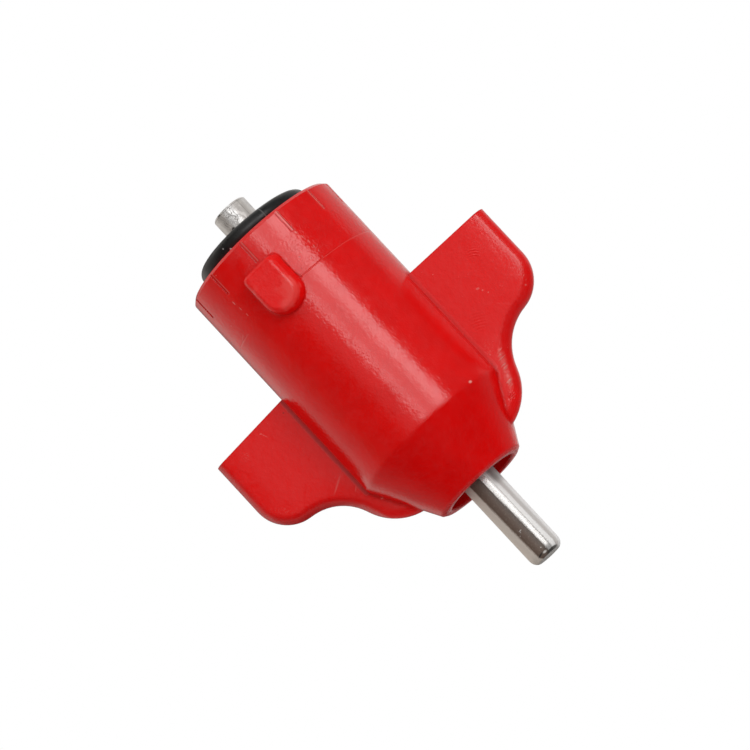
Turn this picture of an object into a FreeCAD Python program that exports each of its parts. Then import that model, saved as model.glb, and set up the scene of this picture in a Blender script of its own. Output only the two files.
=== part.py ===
"""Twist-lock drinker valve for poultry, the kind that screws into a water pipe's saddle.

A moulded housing with two grip wings and a bayonet collar holds a steel sleeve. In the sleeve a closing
pin stands on its conical seat, and below it a trigger pin hangs by its flange on a rubber seal. A bird
that pushes the trigger aside tips the flange, which lifts the closing pin and lets the water run.

The frame: Z is the valve's axis, up in use. The origin is on the axis in the plane of the collar's rim.
The wings lie along X and the bayonet lugs along Y. Sizes are in millimetres and degrees.
"""

import FreeCAD
import Part
import Sketcher

import os
import re

SIZES = [
    # The moulded housing, depths counted down from the rim
    ("body_radius", 9.05, "outside of the collar and the body"),
    ("rim_chamfer", 0.35, "chamfer of the collar's upper edge"),
    ("cone_depth", 25.9, "where the cone of the nose starts"),
    ("nose_depth", 33.0, "the flat end of the nose"),
    ("nose_wall", 1.0, "wall round the mouth of the nose"),
    ("nose_chamfer", 0.25, "chamfer of the nose's outer edge"),
    ("nose_bore_radius", 4.1, "bore that the trigger swings in"),
    ("shoulder_depth", 22.4, "shoulder that carries the lower seat"),
    # The grip wings
    ("wing_reach", 18.8, "from the axis to a wing's outer edge"),
    ("wing_thickness", 2.2, "thickness of the wings"),
    ("wing_depth", 12.7, "upper edge of the wings, taken on the axis"),
    ("wing_drop", 0.65, "how much lower the upper edge lies at the tips"),
    ("wing_foot_rise", 1.95, "from the nose's end up to where the wings leave the cone"),
    ("wing_corner_radius", 4.1, "lower outer corner"),
    ("wing_corner_sweep", 83.3, "angle that the corner turns through"),
    ("wing_hollow_radius", 5.7, "hollow below the corner"),
    ("wing_hollow_sweep", 62.4, "angle that the hollow turns through"),
    ("wing_flank", 0.3, "straight run between the hollow and the foot"),
    ("wing_foot_radius", 5.85, "rounded foot on the cone"),
    ("wing_foot_sweep", 64.0, "angle that the foot turns through"),
    ("wing_round", 1.0, "rounding of the wings' outer and lower edges"),
    # The bayonet lugs
    ("lug_depth", 3.05, "upper edge of the lugs"),
    ("lug_length", 6.15, "height of a lug"),
    ("lug_width", 4.65, "width of a lug at its root"),
    ("lug_corner", 1.0, "upper corners"),
    ("lug_root", 0.6, "how deep the root reaches into the body"),
    ("lug_stand", 1.9, "how far a lug stands out of the body"),
    ("lug_draft", 10.0, "draft of a lug's sides"),
    ("lug_chamfer", 0.3, "chamfer round a lug's face"),
    # The fine grooves of the collar
    ("flute_count", 12, "grooves round the collar"),
    ("flute_width", 0.36, "width of a groove"),
    ("flute_length", 2.9, "length of a groove down from the rim"),
    ("flute_floor", 0.11, "depth of a groove"),
    ("flute_shift", 0.24, "how far the grooves lie round from the lugs' middle"),
    # The steel sleeve and the ring round its top
    ("sleeve_radius", 4.85, "outside of the sleeve and bore of the housing"),
    ("sleeve_wall", 1.0, "wall of the sleeve"),
    ("sleeve_stand", 1.7, "how far the sleeve stands above the rim"),
    ("sleeve_chamfer", 0.25, "chamfer of the sleeve's upper edge"),
    ("ring_section", 1.85, "thickness of the rubber ring"),
    ("ring_gap", 0.05, "clearance between the ring and the sleeve"),
    ("face_gap", 0.02, "clearance under the ring"),
    # The upper seat and the closing pin
    ("seat_recess", 0.2, "upper seat below the sleeve's edge"),
    ("seat_length", 5.0, "length of the upper seat"),
    ("seat_mouth", 0.3, "radial room round the head at the seat's mouth"),
    ("cone_gap", 0.04, "clearance between the head's cone and the seat"),
    ("stem_gap", 0.25, "water gap round the closing pin's stem"),
    ("stem_radius", 1.1, "stem of the closing pin"),
    ("head_radius", 1.975, "head of the closing pin"),
    ("head_top", 4.8, "top of the closing pin above the rim"),
    ("head_chamfer", 0.3, "chamfer of the head's upper edge"),
    ("foot_gap", 0.02, "clearance between the closing pin and the trigger"),
    # The lower seat, its seal and the trigger pin
    ("seat_ring_thickness", 1.0, "steel ring on the shoulder"),
    ("seat_ring_play", 0.85, "radial room round the trigger in the ring"),
    ("seal_thickness", 1.0, "rubber washer on the ring"),
    ("seal_play", 0.7, "radial room round the trigger in the washer"),
    ("seal_gap", 0.05, "clearance between the washer and the bore"),
    ("flange_radius", 3.4, "flange of the trigger pin"),
    ("flange_thickness", 0.9, "thickness of the flange"),
    ("shaft_radius", 1.9, "shaft of the trigger pin"),
    ("shaft_depth", 42.9, "lower end of the trigger pin"),
    ("shaft_chamfer", 0.5, "chamfer of the trigger's end"),
]

doc = FreeCAD.newDocument("drinker_valve")


def build_sheet():
    """The driving dimensions, one row each: what it is, its value and its alias."""
    cells = doc.addObject("Spreadsheet::Sheet", "Sizes")
    for row, (alias, number, meaning) in enumerate(SIZES, start=1):
        cells.set(f"A{row}", meaning)
        cells.set(f"B{row}", str(number))
        cells.setAlias(f"B{row}", alias)
    doc.recompute()
    return cells


sheet = build_sheet()


def bind(feature, **expressions):
    """Ties properties of a feature to expressions in the sheet's aliases."""
    for name, text in expressions.items():
        feature.setExpression(name, size(text))


def size(text):
    """An expression with the sheet's name put before each alias."""
    aliases = {alias for alias, _, _ in SIZES}
    return re.sub("[a-z_]+", lambda word: f"Sizes.{word[0]}" if word[0] in aliases else word[0], text)


def number(text):
    """What an expression is worth with the sheet as it stands."""
    return float(FreeCAD.Units.Quantity(sheet.evalExpression(size(text))).Value)


# Sub-expressions that several pieces share
SEAL_TOP = "(- shoulder_depth + seat_ring_thickness + seal_thickness)"
FLANGE_TOP = f"({SEAL_TOP} + flange_thickness)"
SEAT_TOP = "(sleeve_stand - seat_recess)"
CHAMBER_RADIUS = "(sleeve_radius - sleeve_wall)"
NOSE_RADIUS = "(nose_bore_radius + nose_wall)"
CONE_ANGLE = f"atan((body_radius - {NOSE_RADIUS}) / (nose_depth - cone_depth))"


def new_body(label):
    body = doc.addObject("PartDesign::Body", label)
    body.Label = label
    return body


def origin_feature(body, role):
    return next(part for part in body.Origin.OriginFeatures if part.Role == role)


def new_sketch(body, name, out="0"):
    """A sketch on the body's XZ plane: across is X and up is Z. It lies 'out' from the axis towards -Y."""
    sketch = body.newObject("Sketcher::SketchObject", name)
    sketch.AttachmentSupport = [(origin_feature(body, "XZ_Plane"), "")]
    sketch.MapMode = "FlatFace"
    sketch.setExpression("AttachmentOffset.Base.z", size(out))
    return sketch


def pin_point(sketch, edge, end, across, up):
    """Holds one end of an edge at a place given by two expressions."""
    for axis, kind, text in ((-2, "DistanceX", across), (-1, "DistanceY", up)):
        if text == "0":
            sketch.addConstraint(Sketcher.Constraint("PointOnObject", edge, end, axis))
            continue
        made = sketch.addConstraint(Sketcher.Constraint(kind, edge, end, number(text)))
        sketch.setExpression(f"Constraints[{made}]", size(text))


def draw(sketch, corners):
    """Closes an outline through corners, each (across, up) or (across, up, radius, side).

    A corner with a radius is reached by an arc: side is 1 where the arc's centre lies to the left of
    the way there, and -1 where it lies to the right.
    """
    places = [FreeCAD.Vector(number(c[0]), number(c[1]), 0) for c in corners]
    for index, corner in enumerate(corners):
        start, end = places[index - 1], places[index]
        if len(corner) == 2:
            sketch.addGeometry(Part.LineSegment(start, end), False)
            continue
        radius, side = number(corner[2]), corner[3]
        half = (end - start) * 0.5
        left = FreeCAD.Vector(-half.y, half.x, 0).normalize()
        height = max(radius**2 - half.Length**2, 0) ** 0.5
        centre = start + half + left * (side * height)
        middle = centre - left * (side * radius)
        sketch.addGeometry(Part.Arc(start, middle, end), False)
    for index, corner in enumerate(corners):
        geometry = sketch.Geometry[index]
        turned = isinstance(geometry, Part.ArcOfCircle) and corner[3] < 0
        first, last = (2, 1) if turned else (1, 2)
        following = corners[(index + 1) % len(corners)]
        next_turned = len(following) > 2 and following[3] < 0
        sketch.addConstraint(
            Sketcher.Constraint("Coincident", index, last, (index + 1) % len(corners), 2 if next_turned else 1)
        )
        pin_point(sketch, index, last, corner[0], corner[1])
        if len(corner) > 2:
            made = sketch.addConstraint(Sketcher.Constraint("Radius", index, number(corner[2])))
            sketch.setExpression(f"Constraints[{made}]", size(corner[2]))


def turn_profile(body, name, corners, kind="PartDesign::Revolution"):
    """Turns a half section about Z: a Revolution adds it and a Groove cuts it."""
    sketch = new_sketch(body, f"{name}_section")
    draw(sketch, corners)
    turned = body.newObject(kind, name)
    turned.Profile = sketch
    turned.ReferenceAxis = (sketch, ["V_Axis"])
    turned.Angle = 360
    doc.recompute()
    return turned


def edges_where(feature, test):
    """Names of the feature's edges that pass the test."""
    return [f"Edge{n}" for n, edge in enumerate(feature.Shape.Edges, start=1) if test(edge)]


def round_edges(body, name, base, test, radius, kind="PartDesign::Fillet"):
    """Rounds the edges that pass the test, or chamfers them."""
    dressed = body.newObject(kind, name)
    dressed.Base = (base, edges_where(base, test))
    bind(dressed, **{"Radius" if kind == "PartDesign::Fillet" else "Size": radius})
    doc.recompute()
    return dressed


def is_circle_at(radius, height):
    """Tests for a full circle about Z of a given radius and height."""
    wanted_radius, wanted_height = number(radius), number(height)

    def test(edge):
        return (
            not edge.Degenerated
            and isinstance(edge.Curve, Part.Circle)
            and abs(edge.Curve.Radius - wanted_radius) < 1e-4
            and abs(edge.Curve.Center.z - wanted_height) < 1e-4
            and abs(edge.Curve.Axis.z) > 0.999
        )

    return test


def pattern_round_z(body, name, original, count):
    pattern = body.newObject("PartDesign::PolarPattern", name)
    pattern.Originals = [original]
    pattern.Axis = (origin_feature(body, "Z_Axis"), [""])
    pattern.Angle = 360
    if isinstance(count, str):
        bind(pattern, Occurrences=count)
    else:
        pattern.Occurrences = count
    body.Tip = pattern
    doc.recompute()
    return pattern


def wing_outline():
    """The outline of the plate that makes both wings: the right half, then its mirror image.

    The upper edge slopes down from the axis to the tips. Below the outer edge it turns inward round the corner, back through the hollow, runs straight along
    the flank and turns inward again round the foot, which ends on the cone at a fixed height above the
    nose. The height of the outer edge is what the curves leave over.
    """
    corner = "wing_corner_sweep"
    dip = "(wing_corner_sweep - wing_hollow_sweep)"
    foot = "(wing_corner_sweep - wing_hollow_sweep + wing_foot_sweep)"
    curves = (
        f"(wing_corner_radius * sin({corner}) + wing_hollow_radius * (sin({corner}) - sin({dip}))"
        f" + wing_flank * cos({dip}) + wing_foot_radius * (sin({foot}) - sin({dip})))"
    )
    side_x, side_z = "wing_reach", f"(- nose_depth + wing_foot_rise + {curves})"
    corner_x = f"({side_x} - wing_corner_radius * (1 - cos({corner})))"
    corner_z = f"({side_z} - wing_corner_radius * sin({corner}))"
    hollow_x = f"({corner_x} - wing_hollow_radius * (cos({dip}) - cos({corner})))"
    hollow_z = f"({corner_z} - wing_hollow_radius * (sin({corner}) - sin({dip})))"
    flank_x = f"({hollow_x} - wing_flank * sin({dip}))"
    flank_z = f"({hollow_z} - wing_flank * cos({dip}))"
    foot_x = f"({flank_x} - wing_foot_radius * (cos({dip}) - cos({foot})))"
    foot_z = f"({flank_z} - wing_foot_radius * (sin({foot}) - sin({dip})))"
    right = [
        ("0", "- wing_depth"),
        ("wing_reach", "(- wing_depth - wing_drop)"),
        (side_x, side_z),
        (corner_x, corner_z, "wing_corner_radius", -1),
        (hollow_x, hollow_z, "wing_hollow_radius", 1),
        (flank_x, flank_z),
        (foot_x, foot_z, "wing_foot_radius", -1),
    ]
    left = [(f"- {foot_x}", foot_z)]
    for before, at in reversed(list(zip(right[1:], right[2:]))):
        left.append((f"- {before[0]}", before[1], *at[2:]))
    return right + left


def lug_outline():
    """A lug seen from outside: rounded upper corners and a full round at the lower end."""
    half = "(lug_width / 2)"
    top = "- lug_depth"
    shoulder = "(- lug_depth - lug_corner)"
    bottom = "(- lug_depth - lug_length)"
    waist = f"({bottom} + {half})"
    return [
        (f"({half} - lug_corner)", top),
        (half, shoulder, "lug_corner", -1),
        (half, waist),
        ("0", bottom, half, -1),
        (f"- {half}", waist, half, -1),
        (f"- {half}", shoulder),
        (f"- ({half} - lug_corner)", top, "lug_corner", -1),
    ]


def flute_outline():
    """A collar groove: open at the rim, with a square lower end."""
    right = "(flute_shift + flute_width / 2)"
    left = "(flute_shift - flute_width / 2)"
    return [
        (right, "rim_chamfer"),
        (right, "- flute_length"),
        (left, "- flute_length"),
        (left, "rim_chamfer"),
    ]


def make_housing():
    """One moulding: the wings' plate, the body with its cone, the lugs, the bore and the collar grooves."""
    body = new_body("housing")

    plate_sketch = new_sketch(body, "wing_outline")
    draw(plate_sketch, wing_outline())
    plate = body.newObject("PartDesign::Pad", "wing_plate")
    plate.Profile = plate_sketch
    plate.Midplane = True
    bind(plate, Length="wing_thickness")
    doc.recompute()
    tip_z = number("(- wing_depth - wing_drop)")
    round_edges(
        body,
        "wing_edges",
        plate,
        lambda edge: edge.BoundBox.YLength < 1e-6 and edge.BoundBox.ZMin < tip_z - 1e-6,
        "wing_round",
    )

    turn_profile(
        body,
        "outer_form",
        [
            ("0", "0"),
            ("(body_radius - rim_chamfer)", "0"),
            ("body_radius", "- rim_chamfer"),
            ("body_radius", "- cone_depth"),
            (
                f"({NOSE_RADIUS} + nose_chamfer * sin({CONE_ANGLE}))",
                f"(- nose_depth + nose_chamfer * cos({CONE_ANGLE}))",
            ),
            (f"({NOSE_RADIUS} - nose_chamfer)", "- nose_depth"),
            ("0", "- nose_depth"),
        ],
    )

    lug_sketch = new_sketch(body, "lug_outline", "body_radius - lug_root")
    draw(lug_sketch, lug_outline())
    lug = body.newObject("PartDesign::Pad", "lug")
    lug.Profile = lug_sketch
    bind(lug, Length="lug_root + lug_stand", TaperAngle="- lug_draft")
    doc.recompute()
    lugs = pattern_round_z(body, "lugs", lug, 2)
    lug_face = number("body_radius + lug_stand")
    round_edges(
        body,
        "lug_edges",
        lugs,
        lambda edge: abs(abs(edge.BoundBox.YMin) - lug_face) < 1e-5
        and abs(abs(edge.BoundBox.YMax) - lug_face) < 1e-5,
        "lug_chamfer",
        "PartDesign::Chamfer",
    )

    before = body.Tip.Shape.Volume
    turn_profile(
        body,
        "bore",
        [
            ("0", "rim_chamfer"),
            ("sleeve_radius", "rim_chamfer"),
            ("sleeve_radius", "- shoulder_depth"),
            ("nose_bore_radius", "- shoulder_depth"),
            ("nose_bore_radius", "(- nose_depth - nose_chamfer)"),
            ("0", "(- nose_depth - nose_chamfer)"),
        ],
        "PartDesign::Groove",
    )
    assert body.Tip.Shape.Volume < before - 1, "the bore cut nothing"

    flute_sketch = new_sketch(body, "flute_outline", "body_radius - flute_floor")
    draw(flute_sketch, flute_outline())
    flute = body.newObject("PartDesign::Pocket", "flute")
    flute.Profile = flute_sketch
    flute.Reversed = True
    bind(flute, Length="flute_floor + rim_chamfer")
    doc.recompute()
    before = body.Tip.Shape.Volume
    pattern_round_z(body, "flutes", flute, "flute_count")
    assert body.Tip.Shape.Volume < before, "the collar grooves cut nothing"
    return body


def make_saddle_o_ring():
    """The rubber ring that lies on the rim round the sleeve and seals in the saddle.

    Its round section is drawn with eight flats that touch the true circle.
    """
    body = new_body("saddle_o_ring")
    reach = "(ring_section / 2 / cos(22.5 deg))"
    corners = []
    for corner in range(8):
        turn = 22.5 + 45 * corner
        across = f"(sleeve_radius + ring_gap + ring_section / 2 + {reach} * cos({turn} deg))"
        up = f"(face_gap + ring_section / 2 + {reach} * sin({turn} deg))"
        corners.append((across, up))
    turn_profile(body, "ring", corners)
    return body


def make_valve_sleeve():
    """A turned steel tube, pressed into the housing down onto the rubber washer."""
    body = new_body("valve_sleeve")
    tube = turn_profile(
        body,
        "tube",
        [
            (CHAMBER_RADIUS, SEAL_TOP),
            ("sleeve_radius", SEAL_TOP),
            ("sleeve_radius", "sleeve_stand"),
            (CHAMBER_RADIUS, "sleeve_stand"),
        ],
    )
    edge = is_circle_at("sleeve_radius", "sleeve_stand")
    round_edges(body, "tube_chamfer", tube, edge, "sleeve_chamfer", "PartDesign::Chamfer")
    return body


def make_upper_seat():
    """A turned insert pressed into the sleeve's top, countersunk at 45 degrees for the closing pin."""
    body = new_body("upper_seat")
    hole = "(stem_radius + stem_gap)"
    mouth = "(head_radius + seat_mouth)"
    turn_profile(
        body,
        "insert",
        [
            (hole, f"({SEAT_TOP} - seat_length)"),
            (CHAMBER_RADIUS, f"({SEAT_TOP} - seat_length)"),
            (CHAMBER_RADIUS, SEAT_TOP),
            (mouth, SEAT_TOP),
            (hole, f"({SEAT_TOP} - ({mouth} - {hole}))"),
        ],
    )
    return body


def make_closing_pin():
    """The upper pin: a head with a 45 degree cone under it and a stem that stands on the trigger."""
    body = new_body("closing_pin")
    head_foot = f"({SEAT_TOP} - seat_mouth + cone_gap)"
    foot = f"({FLANGE_TOP} + foot_gap)"
    pin = turn_profile(
        body,
        "pin",
        [
            ("0", foot),
            ("stem_radius", f"({foot} + stem_radius)", "stem_radius", 1),
            ("stem_radius", f"({head_foot} - (head_radius - stem_radius))"),
            ("head_radius", head_foot),
            ("head_radius", "head_top"),
            ("0", "head_top"),
        ],
    )
    edge = is_circle_at("head_radius", "head_top")
    round_edges(body, "pin_top", pin, edge, "head_chamfer", "PartDesign::Chamfer")
    return body


def make_washer(label, thickness, bottom, outer, inner):
    """A flat ring, such as the lower seat and the seal that lies on it."""
    body = new_body(label)
    top = f"({bottom} + {thickness})"
    turn_profile(body, f"{label}_ring", [(inner, bottom), (outer, bottom), (outer, top), (inner, top)])
    return body


def make_trigger_pin():
    """The lower pin: a flange that rests on the seal and a shaft that hangs out of the nose."""
    body = new_body("trigger_pin")
    pin = turn_profile(
        body,
        "pin",
        [
            ("0", "- shaft_depth"),
            ("shaft_radius", "- shaft_depth"),
            ("shaft_radius", SEAL_TOP),
            ("flange_radius", SEAL_TOP),
            ("flange_radius", FLANGE_TOP),
            ("0", FLANGE_TOP),
        ],
    )
    edge = is_circle_at("shaft_radius", "- shaft_depth")
    round_edges(body, "shaft_end", pin, edge, "shaft_chamfer", "PartDesign::Chamfer")
    return body


def make_parts():
    return [
        make_housing(),
        make_saddle_o_ring(),
        make_valve_sleeve(),
        make_upper_seat(),
        make_closing_pin(),
        make_washer(
            "lower_seat",
            "seat_ring_thickness",
            "- shoulder_depth",
            "sleeve_radius",
            "(shaft_radius + seat_ring_play)",
        ),
        make_washer(
            "lower_seal",
            "seal_thickness",
            "(- shoulder_depth + seat_ring_thickness)",
            "(sleeve_radius - seal_gap)",
            "(shaft_radius + seal_play)",
        ),
        make_trigger_pin(),
    ]


def export(parts):
    """Checks every object and sub-part, then writes one STEP file for each sub-part."""
    doc.recompute()
    failed = [part.Name for part in doc.Objects if {"Invalid", "Error"} & set(part.State)]
    assert not failed, f"failed objects: {failed}"
    for part in parts:
        assert not part.Shape.isNull() and part.Shape.isValid(), f"{part.Label} has a faulty shape"
    os.makedirs("parts", exist_ok=True)
    for part in parts:
        part.Shape.exportStep(f"parts/{part.Label}.step")
        box = part.Shape.BoundBox
        print(
            f"{part.Label}: {part.Shape.Volume:.1f} mm3, {box.XLength:.2f} x {box.YLength:.2f} x"
            f" {box.ZLength:.2f} mm, z {box.ZMin:.2f} to {box.ZMax:.2f}, {len(part.Shape.Solids)} solid"
        )


export(make_parts())
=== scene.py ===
"""Looks of the twist-lock drinker valve, laid out as a Blender add-on and run as a script.

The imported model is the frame: Z is the valve's axis with the closing pin up, the wings lie along X and
the bayonet lugs along Y. The origin is on the axis in the plane of the collar's rim. Sizes of objects are
metres. Inside the materials lengths are millimetres, and so are the places and sizes of marks.
"""

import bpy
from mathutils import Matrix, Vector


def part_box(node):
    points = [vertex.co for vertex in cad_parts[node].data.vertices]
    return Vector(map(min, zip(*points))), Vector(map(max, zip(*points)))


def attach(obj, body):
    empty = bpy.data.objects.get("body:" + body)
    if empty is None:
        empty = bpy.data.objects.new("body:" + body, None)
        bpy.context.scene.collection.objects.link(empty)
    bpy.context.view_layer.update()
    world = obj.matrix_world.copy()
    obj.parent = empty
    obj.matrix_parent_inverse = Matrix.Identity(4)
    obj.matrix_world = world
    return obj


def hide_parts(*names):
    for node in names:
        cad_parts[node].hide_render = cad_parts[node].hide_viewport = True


bl_info = {
    "name": "Drinker valve looks",
    "version": (1, 0, 0),
    "blender": (4, 5, 0),
    "location": "3D View > Sidebar > Valve",
    "description": "Finishes, sealing ring, pins, light and camera for a twist-lock drinker valve",
    "category": "Object",
}

import math

import bpy
from bpy.props import FloatProperty, FloatVectorProperty, IntProperty, PointerProperty
from mathutils import Matrix, Vector

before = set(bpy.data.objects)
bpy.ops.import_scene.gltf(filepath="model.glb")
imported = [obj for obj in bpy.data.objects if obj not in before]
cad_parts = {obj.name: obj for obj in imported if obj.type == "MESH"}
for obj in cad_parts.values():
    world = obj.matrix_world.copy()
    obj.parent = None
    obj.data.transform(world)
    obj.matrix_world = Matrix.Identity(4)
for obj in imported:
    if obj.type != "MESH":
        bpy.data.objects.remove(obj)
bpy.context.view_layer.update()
RING_LOW, RING_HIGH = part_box("saddle_o_ring")
TRIGGER_LOW, TRIGGER_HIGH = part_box("trigger_pin")
CLOSING_LOW, CLOSING_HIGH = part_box("closing_pin")
MM = 0.001
WHITE = (1.0, 1.0, 1.0, 1.0)


# Shader helpers


class Signal:
    """An output of a node tree that can be used in Python expressions."""

    def __init__(self, nodes, socket):
        self.nodes = nodes
        self.socket = socket

    def _math(self, operation, *values):
        return self.nodes.add("ShaderNodeMath", {"operation": operation}, dict(enumerate(values)))

    def __add__(self, other):
        return self._math("ADD", self, other)

    def __radd__(self, other):
        return self._math("ADD", other, self)

    def __sub__(self, other):
        return self._math("SUBTRACT", self, other)

    def __rsub__(self, other):
        return self._math("SUBTRACT", other, self)

    def __mul__(self, other):
        return self._math("MULTIPLY", self, other)

    def __rmul__(self, other):
        return self._math("MULTIPLY", other, self)

    def __truediv__(self, other):
        return self._math("DIVIDE", self, other)

    def __abs__(self):
        return self._math("ABSOLUTE", self)

    def sine(self):
        return self._math("SINE", self)

    def fraction(self):
        return self._math("FRACT", self)

    def root(self):
        return self._math("SQRT", self)

    def highest(self, other):
        return self._math("MAXIMUM", self, other)

    def lowest(self, other):
        return self._math("MINIMUM", self, other)

    def angle_over(self, other):
        """The angle whose tangent is this signal over the other, in radians."""
        return self._math("ARCTAN2", self, other)

    def step(self, start, end):
        """Rises smoothly from 0 at start to 1 at end; falls where end is below start."""
        rises = end > start
        return self.nodes.add(
            "ShaderNodeMapRange",
            {"interpolation_type": "SMOOTHSTEP"},
            {
                "Value": self,
                "From Min": min(start, end),
                "From Max": max(start, end),
                "To Min": 0.0 if rises else 1.0,
                "To Max": 1.0 if rises else 0.0,
            },
        )

    def line(self, place, half_width):
        """1 where this signal is at the place, falling to 0 half a width away."""
        return abs(self - place).step(half_width, 0.0)

    def between(self, low, high, soft):
        """1 between two values, with soft ends."""
        return self.step(low - soft, low + soft) * self.step(high + soft, high - soft)


class Nodes:
    """Builds the nodes of one material or world."""

    def __init__(self, owner):
        owner.use_nodes = True
        self.tree = owner.node_tree
        self.tree.nodes.clear()

    def add(self, kind, settings=None, values=None, out=None):
        """Adds a node: its settings first, then the values or links of its sockets."""
        node = self.tree.nodes.new(kind)
        for name, value in (settings or {}).items():
            if name == "stops":
                self._set_stops(node.color_ramp, value)
            else:
                setattr(node, name, value)
        for name, value in (values or {}).items():
            socket = self._socket(node.inputs, name)
            if isinstance(value, Signal):
                self.tree.links.new(value.socket, socket)
            else:
                socket.default_value = value
        chosen = self._socket(node.outputs, out if out is not None else 0) if node.outputs else None
        return Signal(self, chosen)

    @staticmethod
    def _socket(sockets, name):
        if isinstance(name, int):
            return sockets[name]
        return next(s for s in sockets if s.identifier == name or (s.name == name and s.enabled))

    @staticmethod
    def _set_stops(ramp, stops):
        while len(ramp.elements) < len(stops):
            ramp.elements.new(1.0)
        for element, (place, colour) in zip(ramp.elements, stops):
            element.position = place
            element.color = (*colour, 1.0)

    def point(self):
        """The surface point in the frame's own coordinates, in millimetres."""
        raw = self.add("ShaderNodeTexCoord", out="Object")
        return self.add(
            "ShaderNodeVectorMath", {"operation": "SCALE"}, {0: raw, "Scale": 1 / MM}
        )

    def parts(self, vector):
        """The three components of a vector."""
        first = self.add("ShaderNodeSeparateXYZ", None, {0: vector})
        outputs = first.socket.node.outputs
        return first, Signal(self, outputs[1]), Signal(self, outputs[2])

    def noise(self, vector, size, detail=2.0, roughness=0.5):
        """Noise of about the given feature size, from 0 to 1."""
        return self.add(
            "ShaderNodeTexNoise",
            None,
            {"Vector": vector, "Scale": 1.0 / size, "Detail": detail, "Roughness": roughness},
        )

    def stretched(self, vector, scale):
        """The vector divided along its axes, so that a pattern on it is drawn out."""
        return self.add(
            "ShaderNodeMapping", {"vector_type": "TEXTURE"}, {"Vector": vector, "Scale": scale}
        )

    def patch(self, vector, centre, halves, turn=0.0, hard=0.2):
        """1 in the middle of an ellipsoid, falling to 0 at its surface; turned about Y by degrees."""
        local = self.add(
            "ShaderNodeMapping",
            {"vector_type": "TEXTURE"},
            {
                "Vector": vector,
                "Location": centre,
                "Rotation": (0.0, math.radians(turn), 0.0),
                "Scale": halves,
            },
        )
        away = self.add("ShaderNodeVectorMath", {"operation": "LENGTH"}, {0: local}, out="Value")
        return away.step(1.0, hard)

    def patches(self, vector, places, hard=0.2):
        """Several patches in one mask. Each place is (centre, halves) or (centre, halves, turn)."""
        whole = self.patch(vector, *places[0], hard=hard)
        for place in places[1:]:
            whole = whole.highest(self.patch(vector, *place, hard=hard))
        return whole

    def ripples(self, vector, centre, spacing):
        """Fine rings round a centre, from -1 to 1."""
        away = self.add(
            "ShaderNodeVectorMath", {"operation": "DISTANCE"}, {0: vector, 1: centre}, out="Value"
        )
        return (away * (math.tau / spacing)).sine()

    def blend(self, factor, first, second):
        """Mixes two colours."""
        return self.add(
            "ShaderNodeMix",
            {"data_type": "RGBA"},
            {"Factor_Float": factor, "A_Color": first, "B_Color": second},
            out="Result_Color",
        )

    def bump(self, height, normal=None):
        """Turns a height in millimetres into a normal."""
        values = {"Height": height, "Distance": MM, "Strength": 1.0}
        if normal is not None:
            values["Normal"] = normal
        return self.add("ShaderNodeBump", None, values)

    def soft_edges(self, radius):
        """A normal that is rounded over sharp edges, radius in millimetres."""
        return self.add("ShaderNodeBevel", {"samples": 6}, {"Radius": radius * MM})

    def mix_normals(self, factor, first, second):
        """Goes over from one normal to another."""
        return self.add(
            "ShaderNodeMix",
            {"data_type": "VECTOR"},
            {"Factor_Float": factor, "A_Vector": first, "B_Vector": second},
            out="Result_Vector",
        )

    def turn_round_z(self, x, y):
        """The angle round the axis in degrees, counted from -Y towards +X."""
        return x.angle_over(0.0 - y) * (180 / math.pi)

    def surface(self, **values):
        """Ends a material in a principled shader."""
        names = {name.replace("_", " "): value for name, value in values.items()}
        shader = self.add("ShaderNodeBsdfPrincipled", None, names)
        self.add("ShaderNodeOutputMaterial", None, {"Surface": shader})


def colour(rgb, level=1.0):
    """A socket's colour, made lighter or darker by a level."""
    return (*(min(1.0, level * part) for part in rgb), 1.0)


def add_object(name, data):
    """Puts a mesh, lamp or camera into the scene."""
    thing = bpy.data.objects.new(name, data)
    bpy.context.collection.objects.link(thing)
    return thing


def dress(node, material):
    """Gives a CAD node its finished material."""
    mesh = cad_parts[node].data
    mesh.materials.clear()
    mesh.materials.append(material)


# Sizes and colours that a user would change


class ValvePlasticLook(bpy.types.PropertyGroup):
    tint: FloatVectorProperty(
        name="Colour",
        description="Colour of the moulded housing",
        subtype="COLOR",
        size=3,
        min=0.0,
        max=1.0,
        default=(0.71, 0.0026, 0.0024),
    )
    gloss: FloatProperty(
        name="Roughness",
        description="Roughness of the moulded skin",
        subtype="FACTOR",
        min=0.0,
        max=1.0,
        default=0.12,
    )
    reflection: FloatProperty(
        name="Index of refraction",
        description="How strongly the moulded skin mirrors the room",
        min=1.3,
        max=2.0,
        default=1.58,
    )
    grain: FloatProperty(
        name="Grain",
        description="Depth of the skin's pebbled grain in millimetres",
        min=0.0,
        max=0.1,
        default=0.04,
    )
    insert_line: FloatProperty(
        name="Insert line",
        description="Depth below the rim, in millimetres, of the line that the mould's insert left",
        default=6.95,
    )
    groove_turn: FloatProperty(
        name="Groove turn",
        description="How far the collar's grooves are turned from the lugs, in degrees",
        default=1.5,
    )
    body_radius: FloatProperty(
        name="Body radius",
        description="Radius of the body, beyond which the wings and lugs start, in millimetres",
        default=9.05,
    )
    cone_depth: FloatProperty(
        name="Cone depth",
        description="Depth below the rim, in millimetres, where the nose's cone starts",
        default=25.9,
    )
    corner_x: FloatProperty(
        name="Corner out",
        description="From the axis to the centre of a wing's lower corner, in millimetres",
        default=14.7,
    )
    corner_depth: FloatProperty(
        name="Corner down",
        description="Depth below the rim of the centre of a wing's lower corner, in millimetres",
        default=19.36,
    )
    corner_radius: FloatProperty(
        name="Corner radius",
        description="Radius of a wing's lower corner, in millimetres",
        default=4.1,
    )
    crown_width: FloatProperty(
        name="Crown width",
        description="How far in from the edge the wings' faces start to fall away, in millimetres",
        min=0.5,
        default=3.2,
    )
    crown_slope: FloatProperty(
        name="Crown slope",
        description="Slope of the wings' faces at their very edge",
        default=0.17,
    )


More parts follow.
